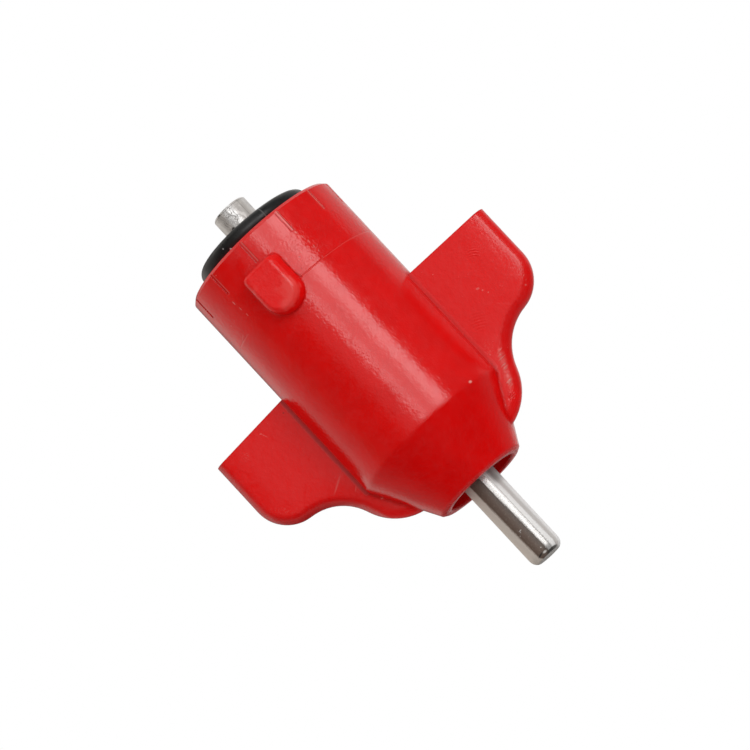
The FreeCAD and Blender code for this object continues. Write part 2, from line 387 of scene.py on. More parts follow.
class ValveSteelLook(bpy.types.PropertyGroup):
    tint: FloatVectorProperty(
        name="Colour",
        description="Colour of the steel's reflection",
        subtype="COLOR",
        size=3,
        min=0.0,
        max=1.0,
        default=(0.74, 0.7, 0.655),
    )
    roughness: FloatProperty(
        name="Roughness",
        description="Roughness of the drawn steel",
        subtype="FACTOR",
        min=0.0,
        max=1.0,
        default=0.2,
    )


class ValveRingSizes(bpy.types.PropertyGroup):
    ring_radius: FloatProperty(
        name="Ring radius",
        description="From the axis to the middle of the rubber",
        unit="LENGTH",
        default=(RING_HIGH[0] - RING_LOW[0]) / 2 - (RING_HIGH[2] - RING_LOW[2]) / 2,
    )
    section_radius: FloatProperty(
        name="Section radius",
        description="Half the rubber's thickness",
        unit="LENGTH",
        default=(RING_HIGH[2] - RING_LOW[2]) / 2,
    )
    height: FloatProperty(
        name="Height",
        description="Height of the rubber's middle above the rim",
        unit="LENGTH",
        default=(RING_HIGH[2] + RING_LOW[2]) / 2,
    )
    unevenness: FloatProperty(
        name="Unevenness",
        description="How much thinner the rubber is on its +X side, as a share of its thickness",
        subtype="FACTOR",
        min=0.0,
        max=0.5,
        default=0.26,
    )
    steps_round: IntProperty(
        name="Steps round",
        description="Divisions of the ring round the axis",
        default=160,
        min=12,
    )


class ValvePinSizes(bpy.types.PropertyGroup):
    shaft_radius: FloatProperty(
        name="Shaft radius",
        description="Radius of the trigger's shaft",
        unit="LENGTH",
        default=0.0019,
    )
    flange_thickness: FloatProperty(
        name="Flange thickness",
        description="Thickness of the trigger's flange",
        unit="LENGTH",
        default=0.0009,
    )
    end_length: FloatProperty(
        name="End length",
        description="How far the rounding of the trigger's end reaches along the shaft",
        unit="LENGTH",
        default=0.0009,
    )
    end_narrowing: FloatProperty(
        name="End narrowing",
        description="How much smaller the radius of the trigger's end face is than the shaft's",
        unit="LENGTH",
        default=0.0005,
    )
    stem_radius: FloatProperty(
        name="Stem radius",
        description="Radius of the closing pin's stem and of its rounded foot",
        unit="LENGTH",
        default=0.0011,
    )
    head_foot: FloatProperty(
        name="Head foot",
        description="Height above the rim where the cone under the closing pin's head ends",
        unit="LENGTH",
        default=0.00124,
    )
    head_rounding: FloatProperty(
        name="Head rounding",
        description="Rounding of the closing pin's upper edge",
        unit="LENGTH",
        default=0.0003,
    )
    steps_round: IntProperty(
        name="Steps round",
        description="Divisions of the pins round the axis",
        default=128,
        min=12,
    )


class ValveStage(bpy.types.PropertyGroup):
    floor_depth: FloatProperty(
        name="Floor",
        description="Distance of the floor below the rim",
        unit="LENGTH",
        default=0.15,
    )
    sky_level: FloatProperty(
        name="Room light",
        description="Strength of the even light from all round",
        default=0.69,
        min=0.0,
    )
    panel_level: FloatProperty(
        name="Panel light",
        description="Radiance of the soft panel, where 1 is a white wall",
        default=1.6,
        min=0.0,
    )
    camera_distance: FloatProperty(
        name="Camera distance",
        description="From the camera to the valve's axis",
        unit="LENGTH",
        default=0.599263,
    )


# Materials


# The housing's shape as its materials need it, next to the sizes in ValvePlasticLook
CONE_SLOPE = 0.556
HOLLOW_OUT = 1.14
HOLLOW_DOWN = 9.73
HOLLOW_RADIUS = 5.7
WING_TOP = 12.72
WING_TOP_SLOPE = 0.0346
NOSE_END = 33.0
GROOVE_SPACING = 30.0

# Marks of the moulding, placed as the photo shows them: centre, half sizes and turn about Y in degrees.
# A wing's front face lies at -1.1 in Y.
PALE_SPECKS = (
    ((7.06, -5.66, -25.8), (0.3, 0.3, 0.2)),
    ((13.2, -1.1, -18.95), (0.28, 0.3, 0.16), 25.0),
    ((13.45, -1.1, -19.4), (0.14, 0.3, 0.12)),
    ((13.73, -1.1, -19.95), (0.13, 0.3, 0.11)),
    ((16.97, -1.1, -22.05), (0.17, 0.3, 0.17)),
    ((10.87, -1.1, -14.76), (0.1, 0.3, 0.08)),
    ((9.58, -1.1, -24.54), (0.11, 0.3, 0.11)),
    ((-12.96, -1.1, -13.99), (0.2, 0.3, 0.1), 30.0),
    ((-14.1, -1.1, -23.59), (0.14, 0.4, 0.13)),
    ((-8.34, -1.1, -27.25), (0.2, 0.3, 0.1), 40.0),
    ((-3.93, -8.15, -0.71), (0.09, 0.2, 0.09)),
    ((-6.69, -6.09, -5.0), (0.09, 0.12, 0.09)),
    ((3.95, -8.15, -5.1), (0.12, 0.12, 0.2), -20.0),
    ((3.7, -8.2, -4.7), (0.1, 0.12, 0.1)),
    ((3.3, -8.4, -5.6), (0.09, 0.12, 0.12)),
)
PALE_SCRATCHES = (
    ((-12.75, -1.1, -14.4), (0.06, 0.3, 0.55), -20.0),
    ((-10.7, -1.1, -23.1), (0.16, 0.3, 1.5), 62.0),
    ((-9.6, -1.1, -24.7), (0.09, 0.3, 0.4), 50.0),
    ((-6.9, -5.9, -6.9), (0.06, 0.3, 0.7), 35.0),
    ((-6.5, -6.2, -6.6), (0.06, 0.3, 0.5), 60.0),
    ((17.6, -1.1, -20.7), (0.08, 0.3, 0.28), 60.0),
    ((17.5, -1.1, -21.2), (0.07, 0.3, 0.22), 70.0),
    ((17.35, -1.1, -21.7), (0.07, 0.3, 0.22), 70.0),
)
DARK_SPECKS = (
    ((8.99, -1.02, -2.34), (0.15, 0.3, 0.15)),
    ((-9.8, -1.1, -14.1), (0.14, 0.3, 0.12)),
    ((3.55, -8.3, -5.35), (0.14, 0.2, 0.09)),
    ((4.25, -8.0, -6.2), (0.1, 0.2, 0.08)),
    ((2.95, -8.5, -6.35), (0.09, 0.2, 0.1)),
)
GROOVE_DASHES = (
    ((4.85, -7.62, -3.2), (0.1, 0.3, 0.28)),
    ((5.0, -7.55, -3.95), (0.09, 0.3, 0.3)),
    ((5.15, -7.45, -4.7), (0.1, 0.3, 0.22)),
    ((5.2, -7.42, -5.4), (0.08, 0.3, 0.18)),
    ((5.22, -7.4, -6.1), (0.08, 0.3, 0.14)),
    ((-4.58, -7.8, -3.9), (0.07, 0.3, 0.3)),
    ((-4.45, -7.88, -4.8), (0.06, 0.3, 0.26)),
    ((-4.35, -7.93, -5.7), (0.06, 0.3, 0.22)),
)
LUG_STEP = (
    ((2.2, -8.78, -4.9), (0.11, 0.4, 1.2)),
    ((2.3, -8.74, -6.5), (0.11, 0.4, 0.75), -16.0),
)
FOOT_STREAKS = (
    ((10.15, -1.1, -25.8), (0.55, 0.5, 1.6), 27.0),
    ((9.2, -1.1, -27.6), (0.5, 0.5, 1.3), 22.0),
)
FOOT_CUTS = ((8.35, -1.1, -29.1), (0.7, 0.5, 0.9), 30.0)
RUBBED_EDGES = (
    ((-16.4, -1.1, -21.3), (0.5, 0.6, 2.9), -50.0),
    ((-15.6, -1.1, -14.6), (0.8, 0.5, 0.6)),
    ((9.9, -1.1, -24.0), (0.8, 0.5, 1.3), 30.0),
)
DULL_PATCH = ((-0.3, -9.0, -1.6), (2.6, 1.5, 3.4), -12.0)

# Arcs that the cutter left in the mould: their centre, spacing and depth, and the patch that they show in
CUTTER_ARCS = (
    ((14.4, -1.1, -17.4), 0.27, 1.0, ((15.3, -1.1, -16.0), (0.95, 0.5, 0.75), 45.0)),
    ((9.3, -1.1, -24.6), 0.3, 0.8, ((10.9, -1.1, -21.3), (1.2, 0.5, 1.6), 40.0)),
)


def inside_wing(look, out, z):
    """Distance in from a wing's outer edge, round its lower corner and down its hollow."""
    past_x = (out - look.corner_x).highest(0.0)
    past_z = (z + look.corner_depth).lowest(0.0)
    in_corner = look.corner_radius - (past_x * past_x + past_z * past_z).root()
    hollow_x = look.corner_x + HOLLOW_OUT
    from_x = out - hollow_x
    from_z = z + (look.corner_depth + HOLLOW_DOWN)
    in_hollow = (from_x * from_x + from_z * from_z).root() - HOLLOW_RADIUS
    return in_corner.highest(in_hollow.lowest(hollow_x - out))


def make_red_plastic(look):
    """Moulded plastic: pebbled skin, crowned wings, witness lines of the mould, scuffs and tool marks."""
    material = bpy.data.materials.new("red_plastic")
    nodes = Nodes(material)
    point = nodes.point()
    x, y, z = nodes.parts(point)
    turn = nodes.turn_round_z(x, y)
    out = abs(x)

    # how far out from the round body: wings and lugs lie beyond it, and a crease runs down the wings' root
    over = (x * x + y * y).root() - look.body_radius - (z + look.cone_depth).lowest(0.0) * CONE_SLOPE
    beyond = over.step(0.1, 0.5)
    on_body = over.step(0.55, 0.15)
    on_wing_face = abs(y).step(1.3, 1.2)
    on_left = x.step(0.0, -1.0)
    # the crease's darkening in the base colour below is painted shade, strongest on the left wing
    crease = on_body * abs(y).step(1.9, 1.3) * z.between(-look.cone_depth, -12.7, 0.4)
    on_collar = z.step(-7.1, -6.6)

    flow = nodes.noise(point, 2.4, detail=3.0)
    pebbles = nodes.noise(point, 0.34, detail=2.0, roughness=0.6)
    grain = nodes.noise(point, 0.13, detail=2.0, roughness=0.6)
    worn = nodes.noise(point, 1.1, detail=3.0, roughness=0.6)

    # the wings are crowned towards their edge, round the corner and down the hollow
    inside = inside_wing(look, out, z)
    crown = (look.crown_width - inside).highest(0.0)
    turned_edge = (1.0 - inside).highest(0.0) * on_left
    crowned = crown * crown * (look.crown_slope / (2 * look.crown_width)) + turned_edge * turned_edge * 0.35
    crowned = crowned * on_wing_face
    # the rim's darkening in the base colour below is painted shade along the wings' rounded edges
    rim = inside.step(1.4, 0.7) * on_wing_face * beyond

    # the mould's lines: the insert's ring and its step by the lug, and the parting line
    insert_ring = z.line(-look.insert_line, 0.1) * (1.0 - turn.between(-40.0, 13.0, 1.5))
    # the step's groove is real; its darkening in the base colour below is painted shade along the lug's
    # right side
    lug_line = nodes.patches(point, LUG_STEP, hard=0.6)
    parting = abs(y).step(0.1, 0.0) * out.step(9.3, 9.1)
    dashes = nodes.patches(point, GROOVE_DASHES, hard=0.5)

    # the cutter's arcs, and a rubbed streak with cross scratches at the right wing's foot
    arcs = 0.0
    for centre, spacing, depth, patch in CUTTER_ARCS:
        arcs = nodes.ripples(point, centre, spacing) * nodes.patch(point, *patch) * depth + arcs
    foot_streak = nodes.patches(point, FOOT_STREAKS)
    across = nodes.noise(nodes.stretched(point, (1.0, 1.0, 0.14)), 1.4).step(0.48, 0.6)
    cross_cuts = nodes.patch(point, *FOOT_CUTS) * across

    # the collar's grooves get painted shade along one border and a painted highlight along the other
    in_turns = ((turn - look.groove_turn) / GROOVE_SPACING + 0.5).fraction() - 0.5
    in_groove = in_turns * GROOVE_SPACING
    groove_zone = z.between(-2.85, -0.25, 0.06)
    groove_painted_highlight = in_groove.line(0.75, 0.75) * groove_zone
    groove_painted_shade = in_groove.line(-0.7, 0.65) * groove_zone

    pale_scratches = nodes.patches(point, PALE_SCRATCHES) * 0.55
    pale = nodes.patches(point, PALE_SPECKS).highest(pale_scratches)
    dark = nodes.patches(point, DARK_SPECKS)
    edge_rub = nodes.patches(point, RUBBED_EDGES) * grain.step(0.56, 0.66)

    # the flat upper ends of the collar and the wings are duller, and so is the nose's mouth
    wing_top = (z + out * WING_TOP_SLOPE).step(-WING_TOP - 0.08, -WING_TOP) * beyond * z.step(-12.0, -12.5)
    ends = z.step(-0.1, -0.02).highest(wing_top)
    mouth = z.step(0.4 - NOSE_END, 0.15 - NOSE_END)

    # relief in millimetres, on edges that are softest at the cone and finest at the collar and the crease
    relief = (parting - lug_line + dashes - pale_scratches * 0.6) * 0.03 - insert_ring * 0.025 - crowned
    cuts = arcs * 0.008 + foot_streak * across * 0.04 - cross_cuts * 0.03
    coarse = look.grain * (0.6 + on_collar * 0.5 - z.step(-3.0, -2.6) * 0.6 - beyond * 0.22)
    skin = (pebbles - 0.5) * coarse + (worn - 0.5) * (look.grain * 0.8) + (grain - 0.5) * (look.grain * 0.25)
    fine = z.step(-3.1, -2.8).highest(crease)
    edges = nodes.mix_normals(fine, nodes.soft_edges(0.35), nodes.soft_edges(0.1))
    by_cone = z.between(-look.cone_depth - 1.0, 1.0 - look.cone_depth, 0.2) * on_body
    edges = nodes.mix_normals(by_cone, edges, nodes.soft_edges(0.9))
    normal = nodes.bump(cuts + skin, nodes.bump(relief, edges))

    rub_and_highlight_colour = colour((0.9, 0.42, 0.36))
    base = nodes.blend(flow.step(0.35, 0.65), colour(look.tint, 0.97), colour(look.tint, 1.03))
    # painted light: the wings and lugs get a 17 % lighter copy of the body's colour, for the light they
    # catch
    base = nodes.blend(beyond, base, colour(look.tint, 1.17))
    chip = nodes.patch(point, *PALE_SPECKS[0])
    # pale specks, the chip, rubbed edges and the lightened insert line are pale marks; the grooves' light
    # border is a painted highlight
    pale_marks_and_painted_highlight = pale * 0.22 + chip * 0.55 + edge_rub * 0.12 + insert_ring * 0.07 + groove_painted_highlight * 0.3
    base = nodes.blend(pale_marks_and_painted_highlight, base, rub_and_highlight_colour)
    base = nodes.blend((foot_streak * (across * 0.42 + 0.1) + dashes * 0.2).lowest(1.0), base, rub_and_highlight_colour)
    # dark specks are real marks; the lug's step line, the crease, the rim and the grooves' dark border are
    # painted shade
    dark_specks_and_painted_shade = dark * 0.55 + lug_line * 0.3 + crease * (on_left * 0.3 + 0.02) + rim * 0.13 + groove_painted_shade * 0.35
    base = nodes.blend(dark_specks_and_painted_shade, base, colour((0.12, 0.004, 0.004)))
    cloudy = beyond * y.step(-9.3, -9.7) * flow.step(0.5, 0.66)
    base = nodes.blend(cloudy * 0.1, base, rub_and_highlight_colour)
    roughness = (
        look.gloss
        + (pebbles - 0.5) * 0.2
        + (worn - 0.5) * 0.25
        + pale * 0.2
        + beyond * 0.08
        + nodes.patch(point, *DULL_PATCH) * worn.step(0.35, 0.6) * 0.14
        + crease * 0.5
        + mouth * 0.16
        + ends * 0.3
    ).highest(0.06)
    nodes.surface(Base_Color=base, Roughness=roughness, IOR=look.reflection, Normal=normal)
    return material


# How a pattern is drawn out along the axis of drawn steel
DRAWN = (1.0, 1.0, 30.0)


def make_steel(name, look):
    """Drawn steel: streaks along the axis, specks and small dents."""
    material = bpy.data.materials.new(name)
    nodes = Nodes(material)
    point = nodes.point()
    drawn = nodes.noise(nodes.stretched(point, DRAWN), 0.09)
    specks = nodes.noise(point, 0.16, detail=3.0, roughness=0.7)
    height = (drawn - 0.5) * 0.0012 + specks.step(0.5, 0.72) * 0.004
    normal = nodes.bump(height, nodes.soft_edges(0.12))
    roughness = look.roughness + 0.18 + (specks - 0.5) * 0.2
    nodes.surface(Base_Color=colour(look.tint), Metallic=1.0, Roughness=roughness, Normal=normal)
    return material


# Painted reflection bands of the pins round the axis: degrees from -Y towards +X, base colour, metallic,
# roughness
# dark bands are painted reflections of the room's dark side, light bands painted reflections of the panel
TRIGGER_PAINTED_REFLECTION_BANDS = (
    (-130, (0.72, 0.69, 0.66), 0.8, 0.28),
    (-90, (0.7, 0.61, 0.53), 0.35, 0.42),
    (-28, (0.68, 0.6, 0.53), 0.2, 0.42),
    (-22, (0.17, 0.115, 0.088), 0.3, 0.35),
    (-2, (0.18, 0.13, 0.105), 0.25, 0.36),
    (8, (0.13, 0.098, 0.08), 0.1, 0.45),
    (14, (0.1, 0.077, 0.062), 0.05, 0.45),
    (19, (0.68, 0.665, 0.65), 0.5, 0.27),
    (31, (0.74, 0.72, 0.7), 0.4, 0.27),
    (36, (0.95, 0.93, 0.91), 0.15, 0.3),
    (48, (0.95, 0.93, 0.91), 0.15, 0.3),
    (53, (0.62, 0.58, 0.555), 0.2, 0.36),
    (64, (0.68, 0.65, 0.62), 0.2, 0.36),
    (74, (0.93, 0.91, 0.9), 0.2, 0.4),
    (90, (0.95, 0.93, 0.92), 0.2, 0.4),
    (130, (0.72, 0.69, 0.66), 0.8, 0.28),
)
CLOSING_PAINTED_REFLECTION_BANDS = (
    (-130, (0.72, 0.69, 0.66), 0.8, 0.3),
    (-90, (0.84, 0.8, 0.76), 0.3, 0.4),
    (-46, (0.82, 0.78, 0.73), 0.3, 0.4),
    (-36, (0.62, 0.58, 0.54), 0.35, 0.36),
    (-19, (0.58, 0.54, 0.5), 0.45, 0.3),
    (-13, (0.82, 0.79, 0.76), 0.45, 0.26),
    (-7, (0.96, 0.94, 0.92), 0.4, 0.26),
    (21, (0.96, 0.94, 0.92), 0.3, 0.3),
    (27, (0.66, 0.62, 0.59), 0.25, 0.38),
    (56, (0.62, 0.58, 0.54), 0.25, 0.4),
    (70, (0.8, 0.77, 0.74), 0.3, 0.4),
    (130, (0.72, 0.69, 0.66), 0.8, 0.3),
)
TRIGGER_NICKS = (
    ((-0.15, -1.9, -39.36), (0.22, 0.3, 0.06)),
    ((-0.24, -1.9, -39.5), (0.1, 0.3, 0.05)),
    ((-0.55, -1.85, -39.75), (0.05, 0.3, 0.07)),
    ((0.25, -1.9, -41.98), (0.08, 0.3, 0.07)),
    ((0.2, -1.8, -42.55), (0.3, 0.5, 0.15)),
)
CLOSING_NICKS = (
    ((-0.45, -1.9, 4.3), (0.12, 0.3, 0.3), -30.0),
    ((0.35, -1.9, 3.2), (0.07, 0.3, 0.35), 35.0),
)
# dark spots on the closing pin; the first is a painted dark reflection round the head's upper edge
CLOSING_DARK_SPOTS_AND_REFLECTIONS = (
    ((0.0, 0.0, 4.55), (2.6, 2.6, 0.09)),
    ((-0.6, -1.8, 2.6), (0.3, 0.5, 0.28), 30.0),
    ((-0.85, -1.7, 4.75), (0.34, 0.5, 0.2), 40.0),
    ((-0.15, -1.9, 4.9), (0.12, 0.5, 0.3), -20.0),
)
# dark spots on the trigger; the first is a painted dark reflection on the +X side of its rounded end
TRIGGER_DARK_SPOTS_AND_REFLECTIONS = (
    ((1.0, -1.4, -42.8), (1.0, 1.0, 0.22)),
    ((-0.35, -1.6, -42.5), (0.5, 0.6, 0.1), -12.0),
)


def make_pin_steel(name, look, painted_bands, nicks, dark_spots_and_reflections, scuffs=0.0, twist=0.0, painted_line_at=34.5):
    """Steel whose colour, metallic and roughness change round the axis in painted reflection bands, with
    drawn lines, nicks and scuffs.

    The painted bands turn by the twist in degrees per millimetre, and a painted dark reflection line runs at
    one angle.
    """
    material = bpy.data.materials.new(name)
    nodes = Nodes(material)
    point = nodes.point()
    x, y, z = nodes.parts(point)
    drawn = nodes.noise(nodes.stretched(point, DRAWN), 0.09)
    specks = nodes.noise(point, 0.16, detail=3.0, roughness=0.7)
    folds = nodes.noise(nodes.stretched(point, (1.0, 1.0, 1.8)), 0.8, detail=1.5, roughness=0.5)
    turn = nodes.turn_round_z(x, y)
    wander = (drawn - 0.5) * 8.0 + (specks - 0.5) * 8.0 + (z + 38.0) * twist
    place = (turn + wander) / 360.0 + 0.5
    colours = [(angle / 360 + 0.5, rgb) for angle, rgb, metal, rough in painted_bands]
    kinds = [(angle / 360 + 0.5, (metal, rough, 0.0)) for angle, rgb, metal, rough in painted_bands]
    # the colour ramp paints the room's reflection onto the steel as bands round the axis
    base = nodes.add("ShaderNodeValToRGB", {"stops": colours}, {"Fac": place})
    kind = nodes.add("ShaderNodeValToRGB", {"stops": kinds}, {"Fac": place})
    metallic, rough = nodes.parts(kind)[:2]
    # a painted dark reflection line along the pin at one angle
    line = turn.line(painted_line_at, 3.4) * drawn.step(0.2, 0.5)
    flat = (x * x + y * y).root().step(1.4, 1.1)
    cuts = folds.line(0.47, 0.03).highest(folds.line(0.56, 0.022)) * turn.between(-38.0, 22.0, 6.0) * scuffs
    # painted shade on the part of the pin inside the nose's mouth
    mouth = turn.step(34.0, 44.0) * z.between(-34.2, -20.0, 0.6)
    nicked = nodes.patches(point, nicks, hard=0.4)
    spots_and_painted_reflection = nodes.patches(point, dark_spots_and_reflections, hard=0.5)
    base = nodes.blend(line * 0.4 + cuts * 0.75, base, colour((0.16, 0.14, 0.125)))
    base = nodes.blend(flat, base, colour((0.6, 0.57, 0.54)))
    speckle = specks.step(0.54, 0.72) * turn.between(-22.0, 15.0, 4.0)
    base = nodes.blend(speckle * 0.3, base, colour((0.4, 0.34, 0.29)))
    # painted dark reflections and dark spots, with the mouth's painted shade
    base = nodes.blend((spots_and_painted_reflection * 0.92).highest(mouth * 0.5), base, colour((0.045, 0.04, 0.036)))
    base = nodes.blend(nicked * 0.85, base, colour((0.86, 0.82, 0.78)))
    height = (drawn - 0.5) * 0.004 + specks.step(0.5, 0.72) * 0.003 - cuts * 0.02 - nicked * 0.03
    normal = nodes.bump(height + (folds - 0.5) * 0.3 * scuffs, nodes.soft_edges(0.25))
    roughness = rough + (look.roughness - 0.2) + (specks - 0.5) * 0.2
    nodes.surface(Base_Color=base, Metallic=metallic, Roughness=roughness, Normal=normal)
    return material


RUBBER_SPECKS = (
    ((-1.91, -6.47, 1.02), (0.08, 0.2, 0.08)),
    ((-1.33, -6.5, 0.48), (0.13, 0.3, 0.12)),
)


def make_black_rubber():
    """Smooth black rubber with a faint moulding seam and a little dust."""
    material = bpy.data.materials.new("black_rubber")
    nodes = Nodes(material)
    point = nodes.point()
    x, y = nodes.parts(point)[:2]
    skin = nodes.noise(point, 0.35, detail=3.0)
    seam = nodes.turn_round_z(x, y).line(30.6, 0.9)
    dust = nodes.patches(point, RUBBER_SPECKS, hard=0.4)
    smear = nodes.noise(nodes.stretched(point, (2.0, 2.0, 1.0)), 1.6).step(0.5, 0.7)
    normal = nodes.bump((skin - 0.5) * 0.01 + seam * 0.03)
    base = nodes.blend(skin.step(0.3, 0.7), colour((0.011, 0.012, 0.012)), colour((0.016, 0.017, 0.017)))
    base = nodes.blend(seam * 0.12 + dust * 0.8, base, colour((0.75, 0.75, 0.74)))
    nodes.surface(Base_Color=base, Roughness=0.3 + (skin - 0.5) * 0.2 + smear * 0.18, Normal=normal)
    return material


# Geometry Nodes


SECTION_STEPS = 40


def ring_tree(material):
    """A closed ring swept round the axis, with its sizes as named inputs."""
    tree = bpy.data.node_groups.new("sealing_ring", "GeometryNodeTree")
    for name, kind in (
        ("Ring radius", "NodeSocketFloat"),
        ("Section radius", "NodeSocketFloat"),
        ("Height", "NodeSocketFloat"),
        ("Unevenness", "NodeSocketFloat"),
        ("Steps round", "NodeSocketInt"),
    ):
        tree.interface.new_socket(name, in_out="INPUT", socket_type=kind)
    tree.interface.new_socket("Geometry", in_out="OUTPUT", socket_type="NodeSocketGeometry")

    def fill(socket, value):
        if isinstance(value, bpy.types.NodeSocket):
            tree.links.new(value, socket)
        else:
            socket.default_value = value

    def new(kind, **values):
        node = tree.nodes.new(kind)
        for name, value in values.items():
            fill(node.inputs[name.replace("_", " ")], value)
        return node

    def maths(operation, first, second):
        node = tree.nodes.new("ShaderNodeMath")
        node.operation = operation
        fill(node.inputs[0], first)
        fill(node.inputs[1], second)
        return node.outputs[0]

    given = tree.nodes.new("NodeGroupInput").outputs
    circle = "GeometryNodeCurvePrimitiveCircle"
    path = new(circle, Radius=given["Ring radius"], Resolution=given["Steps round"])
    section = new(circle, Radius=given["Section radius"], Resolution=SECTION_STEPS)

    # thinner towards +X by the square of the place, and lowered there so that the ring still lies flat
    place = new("ShaderNodeSeparateXYZ", Vector=tree.nodes.new("GeometryNodeInputPosition").outputs[0])
    side = maths("DIVIDE", place.outputs["X"], given["Ring radius"])
    half = maths("MULTIPLY", maths("ADD", side, 1.0), 0.5)
    thinner = maths("MULTIPLY", maths("MULTIPLY", half, half), given["Unevenness"])
    scale = maths("SUBTRACT", 1.0, thinner)
    lower = maths("MULTIPLY", maths("MULTIPLY", thinner, given["Section radius"]), -1.0)
    drop = new("ShaderNodeCombineXYZ", Z=lower)
    sized = new("GeometryNodeSetCurveRadius", Curve=path.outputs["Curve"], Radius=scale)
    lowered = new("GeometryNodeSetPosition", Geometry=sized.outputs["Curve"], Offset=drop.outputs[0])
    swept = new(
        "GeometryNodeCurveToMesh", Curve=lowered.outputs["Geometry"], Profile_Curve=section.outputs["Curve"]
    )
    lift = new("ShaderNodeCombineXYZ", Z=given["Height"])
    placed = new("GeometryNodeTransform", Geometry=swept.outputs["Mesh"], Translation=lift.outputs[0])
    smooth = new("GeometryNodeSetShadeSmooth", Geometry=placed.outputs["Geometry"])
    real = new("GeometryNodeRealizeInstances", Geometry=smooth.outputs["Geometry"])
    coated = new("GeometryNodeSetMaterial", Geometry=real.outputs["Geometry"], Material=material)
    result = tree.nodes.new("NodeGroupOutput")
    tree.links.new(coated.outputs["Geometry"], result.inputs["Geometry"])
    return tree


def mesh_from_tree(name, tree, sizes):
    """Runs a tree once and returns its result as a plain mesh object."""
    holder = add_object(f"{name}_holder", bpy.data.meshes.new(f"{name}_holder"))
    modifier = holder.modifiers.new("tree", "NODES")
    modifier.node_group = tree
    inputs = {
        item.name: item.identifier
        for item in tree.interface.items_tree
        if item.item_type == "SOCKET" and item.in_out == "INPUT"
    }
    for label, value in sizes.items():
        modifier[inputs[label]] = value
    evaluated = holder.evaluated_get(bpy.context.evaluated_depsgraph_get())
    mesh = bpy.data.meshes.new_from_object(evaluated)
    mesh.name = name
    bpy.data.objects.remove(holder)
    return add_object(name, mesh)


# Turned pieces


ARC_STEPS = 10


def pin_end(radius, face, narrowing, side, sweep):
    """Profile points of a pin's rounded end, from its side at one height to its face at another.

    With a sweep of less than 90 degrees a soft corner stays where the rounding meets the face.
    """
    points = []
    whole = math.radians(sweep)
    for step in range(ARC_STEPS + 1):
        angle = math.radians(sweep * step / ARC_STEPS)
        inward = (1 - math.cos(angle)) / (1 - math.cos(whole))
        along = math.sin(angle) / math.sin(whole)
        points.append((radius - narrowing * inward, side + (face - side) * along))
    return points


def closing_profile(sizes):
    """The closing pin: a round foot, a stem, a 45 degree cone and a head with a rounded upper edge."""
    stem = sizes.stem_radius
    foot = CLOSING_LOW[2]
    head = CLOSING_HIGH[0]
    top = CLOSING_HIGH[2]
    quarter = [math.radians(90 / ARC_STEPS * step) for step in range(ARC_STEPS + 1)]
    profile = [(stem * math.sin(angle), foot + stem * (1 - math.cos(angle))) for angle in quarter]
    profile += [(stem, sizes.head_foot - (head - stem)), (head, sizes.head_foot)]
    profile += pin_end(head, top, sizes.head_rounding, top - sizes.head_rounding, sweep=90.0)
    profile.append((0.0, top))
    return profile


def trigger_profile(sizes):
    """The trigger: a shaft with a rounded end and a flange at its top."""
    tip = TRIGGER_LOW[2]
    flange = TRIGGER_HIGH[0]
    top = TRIGGER_HIGH[2]
    shaft = sizes.shaft_radius
    flange_foot = top - sizes.flange_thickness
    end = pin_end(shaft, tip, sizes.end_narrowing, tip + sizes.end_length, sweep=70.0)
    upper = [(shaft, flange_foot), (flange, flange_foot), (flange, top), (0.0, top)]
    return [(0.0, tip), *reversed(end), *upper]


def turned_piece(name, profile, steps, material):
    """Turns a profile of radius and height round the axis, from its lower pole to its upper one."""
    turns = [math.tau * i / steps for i in range(steps)]
    circle = [(math.cos(turn), math.sin(turn)) for turn in turns]
    rows = profile[1:-1]
    points = [(radius * c, radius * s, height) for radius, height in rows for c, s in circle]
    pairs = [(i, (i + 1) % steps) for i in range(steps)]
    faces = [
        (row * steps + i, row * steps + j, (row + 1) * steps + j, (row + 1) * steps + i)
        for row in range(len(rows) - 1)
        for i, j in pairs
    ]
    last = (len(rows) - 1) * steps
    low = len(points)
    faces += [(low, j, i) for i, j in pairs]
    faces += [(low + 1, last + i, last + j) for i, j in pairs]
    points += [(0.0, 0.0, profile[0][1]), (0.0, 0.0, profile[-1][1])]
    mesh = bpy.data.meshes.new(name)
    mesh.from_pydata(points, [], faces)
    mesh.polygons.foreach_set("use_smooth", [True] * len(faces))
    mesh.set_sharp_from_angle(angle=math.radians(20))
    mesh.materials.append(material)
    return add_object(name, mesh)


# Operators


class VALVE_OT_housing(bpy.types.Operator):
    """Gives the moulded housing its red plastic"""

    bl_idname = "valve.housing"
    bl_label = "Finish the housing"

    def execute(self, context):
        dress("housing", make_red_plastic(context.scene.valve_plastic))
        return {"FINISHED"}


class VALVE_OT_sealing_ring(bpy.types.Operator):
    """Makes the round rubber ring on the rim and finishes the inner seal"""

    bl_idname = "valve.sealing_ring"
    bl_label = "Make the sealing ring"

    def execute(self, context):
        sizes = context.scene.valve_ring
        rubber = make_black_rubber()
        ring = mesh_from_tree(
            "sealing_ring",
            ring_tree(rubber),
            {
                "Ring radius": sizes.ring_radius,
                "Section radius": sizes.section_radius,
                "Height": sizes.height,
                "Unevenness": sizes.unevenness,
                "Steps round": sizes.steps_round,
            },
        )
        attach(ring, "shell")
        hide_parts("saddle_o_ring")
        dress("lower_seal", rubber)
        return {"FINISHED"}


class VALVE_OT_steel_insides(bpy.types.Operator):
    """Finishes the sleeve and the two seats in turned steel"""

    bl_idname = "valve.steel_insides"
    bl_label = "Finish the sleeve and seats"

    def execute(self, context):
        steel = make_steel("steel", context.scene.valve_steel)
        for node in ("valve_sleeve", "upper_seat", "lower_seat"):
            dress(node, steel)
        return {"FINISHED"}


